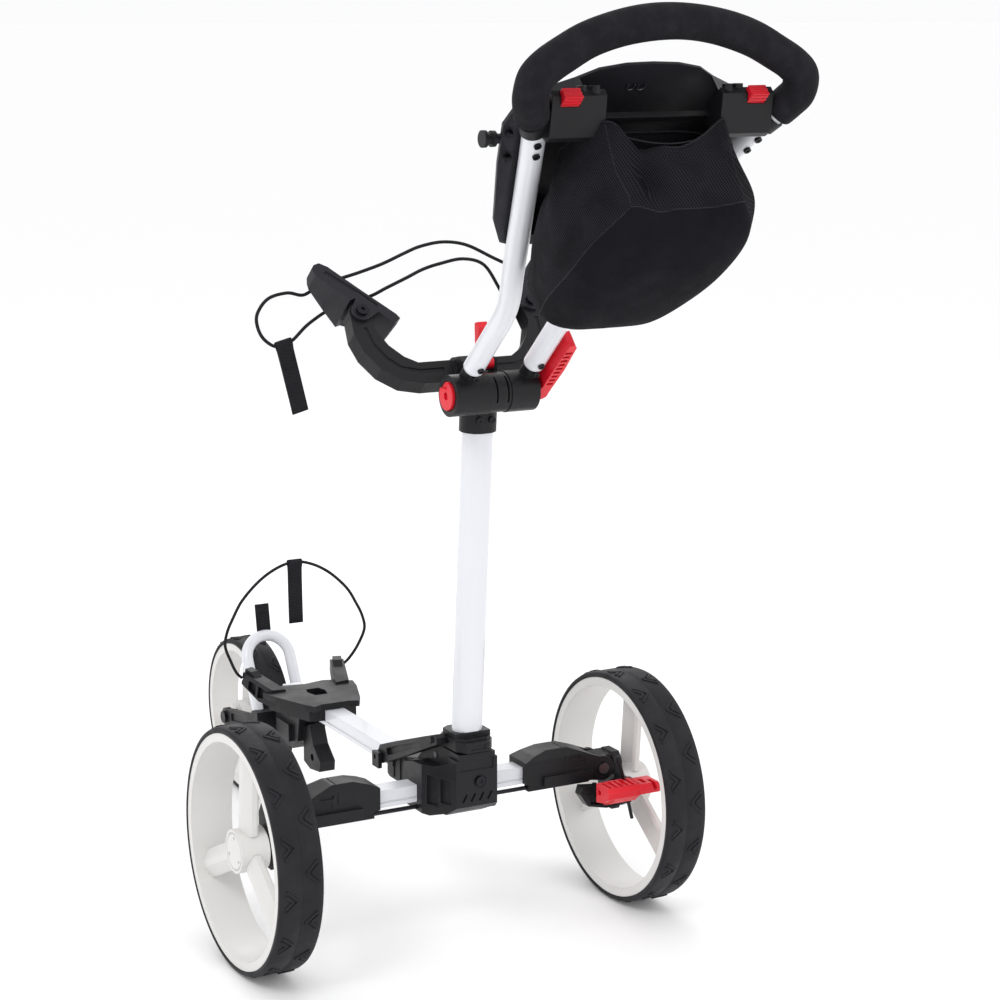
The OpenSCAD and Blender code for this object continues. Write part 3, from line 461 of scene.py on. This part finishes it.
# ---- handle ----------------------------------------------------------------
GRIP_HALF = [spot(139.5, -459, 1000.5), spot(147.5, -471.5, 1012.5), spot(152, -480, 1022),
             spot(150.5, -486, 1037.5), spot(139, -487, 1049), spot(120, -486, 1060),
             spot(94, -485, 1073), spot(64, -485, 1082.5), spot(32, -485, 1088.5)]
TUBE_HALF = [in_handle(38, 20), in_handle(38, 40), in_handle(38, 80), in_handle(38.3, 112),
             in_handle(41.5, 136), in_handle(48.5, 162), in_handle(61.5, 203), in_handle(91, 302),
             in_handle(119.5, 396), in_handle(130.5, 428), spot(143.5, -465, 1006)] + GRIP_HALF[2:]
GRIP_TOP = spot(0, -485, 1090.5)
HANDLE_UP = Vector((0, -0.894, -0.447))
HANDLE_R = 12.0
GRIP_R = 17.8
GRIP_END_R = 5.0


def handle_tube():
    path = smooth(both_halves(TUBE_HALF, GRIP_TOP), 6)
    points, faces = swept(path, [HANDLE_R * MM] * len(path), 40, HANDLE_UP)
    piece = new_piece("painted_handle_tube", points, faces, "white_paint", "handle")
    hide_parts("handle_tube")


def foam_grip():
    """Foam sleeve, a little uneven along its length, with rounded ends."""
    path = smooth(both_halves(GRIP_HALF, GRIP_TOP), 10)
    walked = [0.0]
    for a, b in zip(path, path[1:]):
        walked.append(walked[-1] + (b - a).length / MM)
    radii = []
    for at in walked:
        into_end = max(0.0, GRIP_END_R - min(at, walked[-1] - at))
        rounding = GRIP_END_R - math.sqrt(GRIP_END_R ** 2 - into_end ** 2)
        radii.append((GRIP_R + 0.2 * math.sin(at / 17.0) - rounding) * MM)
    points, faces = swept(path, radii, 48, HANDLE_UP)
    piece = new_piece("foam_sleeve", points, faces, "foam", "handle")
    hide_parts("foam_grip")


# ---- cords -----------------------------------------------------------------
LOWER_HALF = [spot(75.5, 461.5, 214.5), spot(84, 459, 223), spot(94, 453, 241), spot(103, 450, 264),
              spot(100, 450, 283), spot(91, 450, 302), spot(77, 450, 325), spot(52, 450, 349),
              spot(26, 450, 364)]
LOWER_ROUTE = both_halves(LOWER_HALF, spot(0, 450, 370))
UPPER_ROUTE = [
    at_pad(70, -5, -37), at_pad(64, 8, -38), at_pad(58, 22, -36), at_pad(49, 27.5, -18),
    in_bracket(85, 153, -9), in_bracket(52, 167, -1), in_bracket(20, 169.5, 4), in_bracket(-9, 167, 1),
    in_bracket(-31, 161, -3), in_bracket(-60, 151.5, -8), in_bracket(-92, 143.5, -12),
    flipped(at_pad(49, 27.5, -18)), flipped(at_pad(58, 22, -36)), flipped(at_pad(64, 8, -38)),
    flipped(at_pad(68, -8, -37)), spot(-176, 49, 785), spot(-199.5, 48, 780), spot(-212.7, 48, 765),
    spot(-214.5, 47, 751), spot(-208, 46, 735.5), spot(-194, 46, 725.2), spot(-182.7, 46, 728),
    spot(-171.4, 46, 730.8), spot(-153, 48, 746), flipped(at_pad(39, 0, -51)),
    flipped(at_pad(36, 12, -51)), flipped(at_pad(30, 26.5, -50)), in_bracket(-84, 115.2, -20),
    in_bracket(-64.4, 118.5, -8), in_bracket(-41, 124.8, 0), in_bracket(-19.7, 131.4, 6),
    in_bracket(2, 135.3, 10), in_bracket(33, 139, 12), in_bracket(63, 135, 3), in_bracket(86, 117, -20),
    at_pad(30, 26.5, -50), at_pad(36, 12, -51), at_pad(39, 0, -51)]
CORD_R = 2.0
KNOT_SIZE = 1.15


def length_of(path):
    return sum((b - a).length for a, b in zip(path, path[1:]))


def cord_curve(name, route, body):
    path = smooth(route, 6)
    curve = bpy.data.curves.new(name, "CURVE")
    curve.dimensions = "3D"
    curve.bevel_depth = CORD_R * MM
    curve.bevel_resolution = 5
    curve.use_fill_caps = True
    spline = curve.splines.new("POLY")
    spline.points.add(len(path) - 1)
    for point, place in zip(spline.points, path):
        point.co = (*place, 1)
    spline.use_smooth = True
    curve.materials.append(MATERIALS["cord"])
    piece = bpy.data.objects.new(name, curve)
    bpy.context.collection.objects.link(piece)
    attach(piece, body)
    return piece, length_of(path)


def knot(centre, size):
    """Points and faces of an overhand knot pulled tight."""
    path = []
    for i in range(49):
        t = 2 * math.pi * i / 48
        bow = 2.0 + math.cos(3 * t)
        path.append(centre + Vector((bow * math.cos(2 * t), 0.9 * math.sin(3 * t) * 1.6,
                                     bow * math.sin(2 * t))) * size)
    return swept(path, [1.7 * MM] * len(path), 12, Vector((0.02, 1, 0.03)))


def cords():
    lower, lower_length = cord_curve("lower_elastic", LOWER_ROUTE, "chassis")
    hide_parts("lower_cord")
    upper, upper_length = cord_curve("upper_elastic", UPPER_ROUTE, "bracket")
    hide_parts("upper_cord")
    knots = []
    for end, before in ((UPPER_ROUTE[0], UPPER_ROUTE[1]), (UPPER_ROUTE[-1], UPPER_ROUTE[-2])):
        out = (end - before).normalized()
        knots.append(knot(end + out * 3.5 * MM, KNOT_SIZE * MM))
    points, faces = joined(knots)
    tied = new_piece("elastic_end_knots", points, faces, "cord", "bracket")
    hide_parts("cord_knots")


# ---- webbing tabs ----------------------------------------------------------
TAB_WIDTH = 20.0
TAB_LENGTH = 84.0
WEBBING_THICK = 1.3
LOOP_R = 3.6
STITCH_X = (-7.5, 7.5)


def strip(path, thickness, width, place):
    """A band that follows a path of (out, up) places in mm, put in the frame by place(x, out, up)."""
    points, faces = [], []
    across = 8
    for i, (out, up) in enumerate(path):
        before, after = path[max(i - 1, 0)], path[min(i + 1, len(path) - 1)]
        run = Vector((after[0] - before[0], after[1] - before[1])).normalized()
        for side in (-0.5, 0.5):
            for k in range(across + 1):
                x = width * (k / across - 0.5)
                edge = 1.0 - 0.35 * (abs(2 * k / across - 1) ** 8)
                shift = side * thickness * edge
                points.append(place(x, out - run.y * shift, up + run.x * shift))
    row = across + 1
    for i in range(len(path) - 1):
        for k in range(across):
            a, b = 2 * i * row + k, 2 * (i + 1) * row + k
            faces.append((a, a + 1, b + 1, b))
            faces.append((a + row, b + row, b + row + 1, a + row + 1))
        a, b = 2 * i * row, 2 * (i + 1) * row
        faces.append((a, b, b + row, a + row))
        faces.append((a + across, a + across + row, b + across + row, b + across))
    for i in (0, len(path) - 1):
        for k in range(across):
            a = 2 * i * row + k
            faces.append((a, a + row, a + row + 1, a + 1) if i == 0 else (a, a + 1, a + row + 1, a + row))
    return points, faces


def stitches(place, xs, up_from, up_to, out):
    """Two raised rows of short stitches down a tab, and one across at each end."""

    def stitch(x, up, length, width):
        return strip([(out, up), (out, up - length)], 0.5, width,
                     lambda across, o, u: place(across + x, o, u))

    parts = []
    for x in xs:
        up = up_from
        while up > up_to:
            parts.append(stitch(x, up, 2.6, 0.9))
            up -= 4.0
    for up in (up_from + 1.5, up_to - 0.5):
        for i in range(4):
            parts.append(stitch(xs[0] + (xs[-1] - xs[0]) * (i + 0.5) / 4, up, 0.9, 2.8))
    return parts


def tab(name, node, body, place, lean):
    """A strip of webbing folded over a cord, with its two layers sewn together."""
    half = 0.75
    down = (0.25, 0.4, 0.55, 0.7, 0.85, 1.0)
    path = [(half + lean * t * t, -TAB_LENGTH * t) for t in reversed(down)]
    path += [(half + 0.3, -LOOP_R - 5.0), (LOOP_R * 0.75, -LOOP_R * 0.9)]
    path += [(LOOP_R * math.cos(a), LOOP_R * math.sin(a)) for a in (math.pi * k / 12 for k in range(13))]
    path += [(-LOOP_R * 0.75, -LOOP_R * 0.9), (-half - 0.3, -LOOP_R - 5.0)]
    path += [(-half + lean * t * t, -TAB_LENGTH * t) for t in down]
    points, faces = strip(path, WEBBING_THICK, TAB_WIDTH, place)
    piece = new_piece(name, points, faces, "webbing", body)
    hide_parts(node)
    sewn = []
    for out in (half + 0.8, -half - 0.8):
        sewn += stitches(place, STITCH_X, -LOOP_R - 7, -LOOP_R - 26, out)
    points, faces = joined(sewn)
    thread = new_piece(name + "_stitches", points, faces, "cord", body)
    return piece


def tabs():
    tab("lower_tab_webbing", "lower_cord_tab", "chassis",
        lambda x, out, up: spot(x, 450 - out, 369.5 + up), 2.0)
    lean = math.radians(14)

    def left_loop(x, out, up):
        return spot(-182.7 + x * math.cos(lean) - up * math.sin(lean), 46 - out,
                    728 + x * math.sin(lean) + up * math.cos(lean))

    tab("upper_tab_webbing", "upper_cord_tab", "bracket", left_loop, -1.5)
    hoop_turn = math.radians(-28)
    tab_turn = math.radians(18)

    def on_hoop(x, out, up):
        """The tab leans back from the hoop's crown; up is measured down from its far end."""
        y, z = out, 44 - (up + 44)
        turned_y = y * math.cos(tab_turn) - z * math.sin(tab_turn)
        turned_z = y * math.sin(tab_turn) + z * math.cos(tab_turn) + 117
        return spot(x, 507 + turned_y * math.cos(hoop_turn) - turned_z * math.sin(hoop_turn),
                    139 + turned_y * math.sin(hoop_turn) + turned_z * math.cos(hoop_turn))

    layers = []
    for out in (1.0, -1.0):
        path = [(out, -t) for t in (0, 8, 16, 24, 32, 40, 43.5)]
        layers.append(strip(path, WEBBING_THICK, TAB_WIDTH, on_hoop))
    points, faces = joined(layers)
    piece = new_piece("pull_tab_webbing", points, faces, "webbing", "hoop")
    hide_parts("pull_tab")
    points, faces = joined(stitches(on_hoop, STITCH_X, -10, -30, 1.9)
                           + stitches(on_hoop, STITCH_X, -10, -30, -1.9))
    thread = new_piece("pull_tab_stitches", points, faces, "cord", "hoop")


# ---- mesh bag --------------------------------------------------------------
# left half of the bag in mm: each row runs from the middle of the front of the bag, below the
# console shell, round the left side to the middle of the user's side; rows run from mouth to bottom
BAG_ROWS = [
    [(0, -441, 983), (-33, -441, 983), (-62, -438, 980), (-80, -428, 972), (-88, -424, 967),
     (-85, -444, 977), (-68, -473, 996), (-35, -482, 983), (0, -485, 973)],
    [(0, -424, 950), (-36, -424, 950), (-70, -420, 949), (-88, -418, 946), (-96, -436, 942),
     (-88, -474, 945), (-68, -496, 950), (-35, -503, 946), (0, -505, 945)],
    [(0, -388, 916), (-40, -388, 916), (-80, -385, 918), (-97, -410, 914), (-103, -448, 908),
     (-91, -490, 911), (-65, -518, 918), (-33, -521, 915), (0, -521.5, 914)],
    [(0, -352, 884), (-36, -352, 884), (-70, -350, 885), (-91, -383, 880), (-98, -430, 872),
     (-94, -470, 872), (-78, -500, 880), (-39, -514, 884), (0, -516, 884)],
    [(0, -316, 851), (-32, -316, 851), (-56, -316, 852), (-77, -345, 846), (-89, -395, 838),
     (-84, -436, 836), (-71, -466, 841), (-38, -486, 848), (0, -490, 850)],
    [(0, -293, 818), (-28, -293, 818), (-48, -295, 820), (-61, -318, 812), (-69, -360, 805),
     (-66, -396, 805), (-55, -424, 809), (-30, -441, 815), (0, -446, 817)],
    [(0, -301, 790), (-22, -301, 790), (-37, -304, 793), (-47, -322, 790), (-51, -348, 786),
     (-46, -370, 785), (-36, -386, 787), (-18, -396, 789), (0, -399, 790)],
    [(0, -340, 780.5), (-5, -340, 780.5), (-10, -341, 780.5), (-13, -344, 780.3), (-14, -348, 780.2),
     (-12, -352, 780.2), (-9, -355, 780.4), (-5, -357, 780.5), (0, -358, 780.6)]]
# the seam of the plain pocket: for each row, the column it crosses on the left side
SEAM = [(2.0, 6.0), (3.0, 5.3), (4.0, 4.6), (5.0, 3.9), (6.0, 3.0), (7.0, 2.0)]
BAG_FINE = 8


def bag_ring(row):
    """The whole closed row, right half mirrored from the left."""
    left = [Vector(p) for p in row]
    return left + [Vector((-p.x, p.y, p.z)) for p in reversed(left[1:-1])]


def closed_smooth(ring, steps):
    count = len(ring)
    out = []
    for i in range(count):
        a, b, c, d = ring[i - 1], ring[i], ring[(i + 1) % count], ring[(i + 2) % count]
        for k in range(steps):
            t = k / steps
            out.append(0.5 * (2 * b + (c - a) * t + (2 * a - 5 * b + 4 * c - d) * t * t
                              + (3 * b - a - 3 * c + d) * t ** 3))
    return out


def bump_at(value, centre, width):
    return math.exp(-((value - centre) / width) ** 2)


FOLD_X = -34


def fold(p, row, column):
    """How far a point of the bag moves in mm: sag of the mouth, gathered folds, and slack cloth."""
    x, y, z = p
    inward = Vector((-x, -420 - y, 0)).normalized()
    moved = Vector((0, 0, 0))
    users_side = bump_at(y, -500, 26)
    # the slack of the user's panel hangs in one deep fold left of the middle
    notch = bump_at(x, FOLD_X, 14) * math.exp(-row * 0.9) * users_side
    moved += Vector((0, 6, -37)) * notch
    moved += Vector((0, -5, -6)) * bump_at(x, 22, 34) * math.exp(-row * 1.6) * users_side
    valley = bump_at(x, FOLD_X + 6 * row, 7) * bump_at(row, 0.9, 0.7) * users_side
    ridge = bump_at(x, -12 + 3 * row, 9) * bump_at(row, 1.0, 0.7) * users_side
    moved += inward * 7 * valley - inward * 2.5 * ridge
    # folds that run down from the two ends of the mouth across the side panels
    side = bump_at(abs(x), 92, 30)
    wave = math.sin(2.6 * column + 0.9 * row) + 0.5 * math.sin(5.3 * column - 1.4 * row)
    moved += inward * 2.6 * wave * side * bump_at(row, 1.5, 1.1)
    # slack of the pocket
    moved += inward * 1.1 * math.sin(0.09 * x + 1.3 * row) * math.sin(0.05 * z) * bump_at(row, 4.2, 1.6)
    return moved * min(1.0, 0.35 + row) if row > 0.05 else moved


def bag_grid():
    """Fine closed rows of the bag, each a list of points in mm."""
    rings = [closed_smooth(bag_ring(row), BAG_FINE) for row in BAG_ROWS]
    columns = [smooth([ring[k] for ring in rings], BAG_FINE) for k in range(len(rings[0]))]
    grid = []
    for r in range(len(columns[0])):
        row = r / BAG_FINE
        grid.append([column[r] + fold(column[r], row, k / BAG_FINE) for k, column in enumerate(columns)])
    return grid


def seam_column(row):
    """Where the pocket's seam crosses a row, as a column counted from the front middle."""
    for (row_a, at_a), (row_b, at_b) in zip(SEAM, SEAM[1:]):
        if row_a <= row <= row_b:
            return at_a + (at_b - at_a) * (row - row_a) / (row_b - row_a)
    return 2.0


def grid_place(grid, row, column):
    """A point of the fine grid between its corners, in mm."""
    r = min(row * BAG_FINE, len(grid) - 1.0)
    c = column * BAG_FINE
    i, k = int(r), int(c)
    s, t = r - i, c - k
    count = len(grid[0])
    below = grid[min(i + 1, len(grid) - 1)]
    top = grid[i][k % count] * (1 - t) + grid[i][(k + 1) % count] * t
    low = below[k % count] * (1 - t) + below[(k + 1) % count] * t
    return top * (1 - s) + low * s


def seam_tube(name, places, radius, slot="webbing"):
    path = [spot(*p) for p in places]
    points, faces = swept(path, [radius * MM] * len(path), 10, Vector((0.31, 0.77, 0.56)))
    return new_piece(name, points, faces, slot, "handle")


def mesh_bag():
    grid = bag_grid()
    count = len(grid[0])
    points = [spot(*p) for ring in grid for p in ring]
    faces, plain = [], []
    for r in range(len(grid) - 1):
        for k in range(count):
            a, b = r * count + k, r * count + (k + 1) % count
            faces.append((a, b, b + count, a + count))
            row, column = (r + 0.5) / BAG_FINE, (k + 0.5) / BAG_FINE
            column = min(column, count / BAG_FINE - column)
            plain.append(row > 2.0 and column > seam_column(row) or row > 6.9)
    faces.append(tuple((len(grid) - 1) * count + k for k in range(count)))
    plain.append(True)
    bag = new_piece("sewn_mesh_bag", points, faces, "mesh", "handle")
    bag.data.materials.append(MATERIALS["pocket"])
    bag.data.polygons.foreach_set("material_index", [int(p) for p in plain])
    solid = bag.modifiers.new("cloth_thickness", "SOLIDIFY")
    solid.thickness = 0.9 * MM
    solid.offset = -1.0
    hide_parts("mesh_bag")
    half = count / BAG_FINE / 2
    rim = [grid[0][k % count] for k in range(count + 1)]
    hem = seam_tube("bag_hem", rim, 1.3)
    wire = [Vector((67 * t, -486 + 14 * t * t, 974 + 14 * t * t)) for t in (i / 12 - 1 for i in range(25))]
    stay = seam_tube("bag_hem_wire", wire, 0.9, "black_metal")
    for label in ("left", "right"):
        def column_at(c):
            return c if label == "left" else 2 * half - c

        down = [grid_place(grid, 0.15 * i, column_at(6.0)) for i in range(14)]
        slant = [grid_place(grid, 2 + 0.2 * i, column_at(seam_column(2 + 0.2 * i))) for i in range(24)]
        seam_tube("bag_corner_seam_" + label, down, 1.2)
        seam_tube("bag_pocket_seam_" + label, slant, 1.3)
    level = [grid_place(grid, 2.0, 6.0 + i * (2 * half - 12.0) / 30) for i in range(31)]
    seam_tube("bag_level_seam", level, 1.2)


# ---- camera, floor and light -----------------------------------------------
def camera():
    data = bpy.data.cameras.new("camera")
    data.lens = 86.1
    data.sensor_width = 36.0
    seen_from = bpy.data.objects.new("camera", data)
    seen_from.location = (-1.2535, -2.463 + REAR_Y * MM, 1.0958)
    seen_from.rotation_euler = (math.radians(90 - 11.46), 0, math.radians(-28.32))
    bpy.context.collection.objects.link(seen_from)
    bpy.context.scene.camera = seen_from


def floor():
    mesh = bpy.data.meshes.new("floor")
    size = 300.0
    corners = [(-size, -size, 0), (size, -size, 0), (size, size, 0), (-size, size, 0)]
    mesh.from_pydata(corners, [], [(0, 1, 2, 3)])
    s = Shader("floor_paper", (0.97, 0.97, 0.97), 0.9, Emission_Color=(1, 1, 1, 1), Emission_Strength=0.04)
    s.bump(s.noise(300.0, 2.0), 0.0001, 0.2)
    mesh.materials.append(s.material)
    paper = bpy.data.objects.new("floor", mesh)
    bpy.context.collection.objects.link(paper)


def soft_light(name, place, aim, size, power):
    data = bpy.data.lights.new(name, "AREA")
    data.shape = "DISK"
    data.size = size
    data.energy = power
    lamp = bpy.data.objects.new(name, data)
    lamp.location = place
    lamp.rotation_euler = (Vector(aim) - Vector(place)).to_track_quat("-Z", "Y").to_euler()
    bpy.context.collection.objects.link(lamp)


def studio():
    world = bpy.data.worlds.new("studio")
    world.use_nodes = True
    world.node_tree.nodes["Background"].inputs["Color"].default_value = (0.99, 0.99, 1.0, 1)
    world.node_tree.nodes["Background"].inputs["Strength"].default_value = 0.98
    bpy.context.scene.world = world
    bpy.context.scene.view_settings.view_transform = "Standard"
    soft_light("key", (-2.4, -1.6, 3.2), (0, 0, 0.45), 1.4, 34)
    soft_light("fill", (2.8, -2.2, 2.0), (0, 0, 0.5), 2.2, 16)
    soft_light("rim", (1.2, 3.0, 2.6), (0, 0, 0.5), 2.0, 22)


camera()
cords()
dress_cad_nodes()
for size in TYRES:
    tyre(*size)
handle_tube()
foam_grip()
tabs()
mesh_bag()
floor()
studio()
